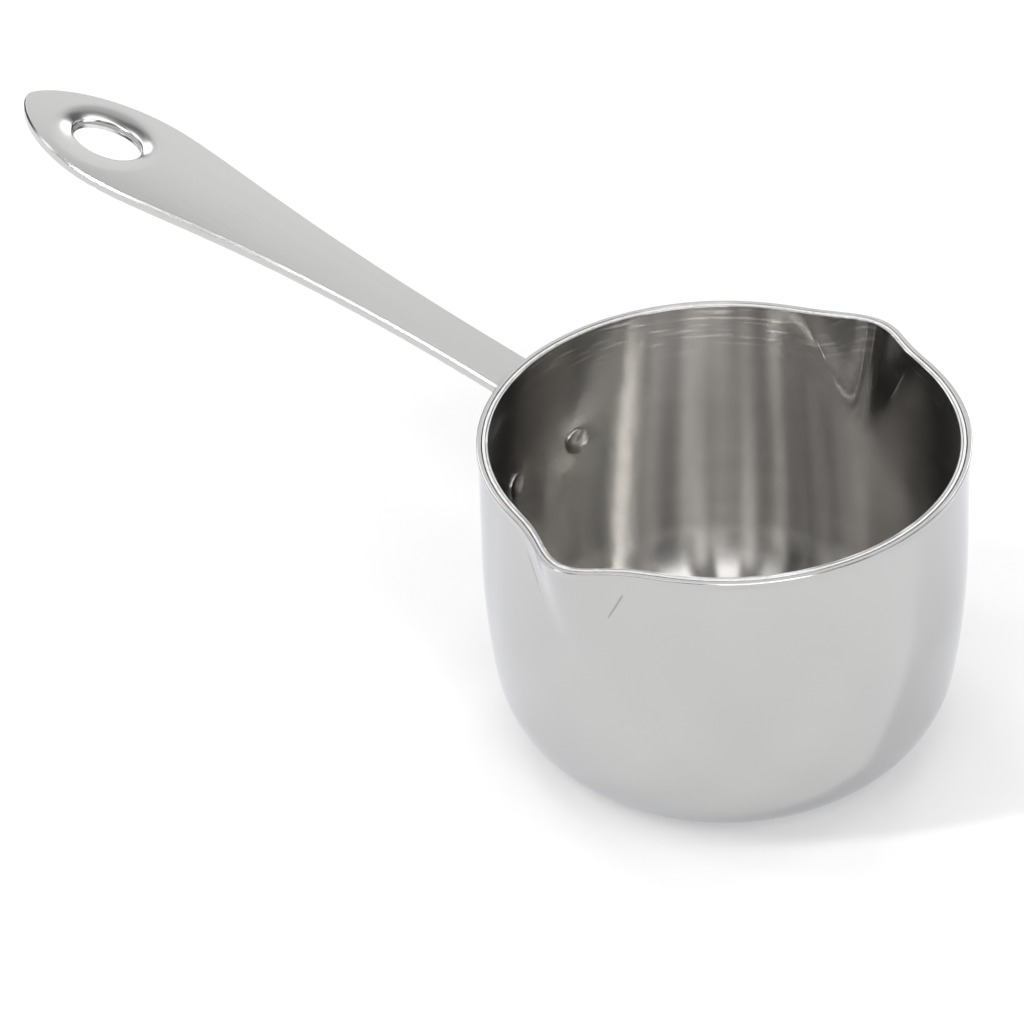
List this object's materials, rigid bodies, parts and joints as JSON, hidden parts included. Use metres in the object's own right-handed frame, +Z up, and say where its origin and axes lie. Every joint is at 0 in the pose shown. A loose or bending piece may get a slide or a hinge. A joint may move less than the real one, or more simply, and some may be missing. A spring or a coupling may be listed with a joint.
{
  "type": "candle melting pot",
  "caption": "Small round stainless melting pot with opposite pouring spouts, a layered wall and a long flat riveted handle with a hanging hole, for melting and pouring wax.",
  "frame": {"origin": "centre of the pot's flat underside", "axes": "+Z up along the pot's axis, +X along the handle from the pot to its tip, +Y and -Y through the two spouts"},
  "size_m": [0.2414, 0.1096, 0.0838],
  "materials": {
    "shell_steel": "mirror polished stainless steel",
    "core_aluminium": "ground edge",
    "liner_steel": "turned around the bowl with a fine brush",
    "handle_steel": "satin, with polished edges",
    "rivet_steel": "polished stainless steel"
  },
  "bodies": {
    "root": {"outer_shell": "shell_steel", "aluminium_core": "core_aluminium", "inner_liner": "liner_steel", "handle": "handle_steel", "rivet_left": "rivet_steel", "rivet_right": "rivet_steel"}
  },
  "joints": []
}
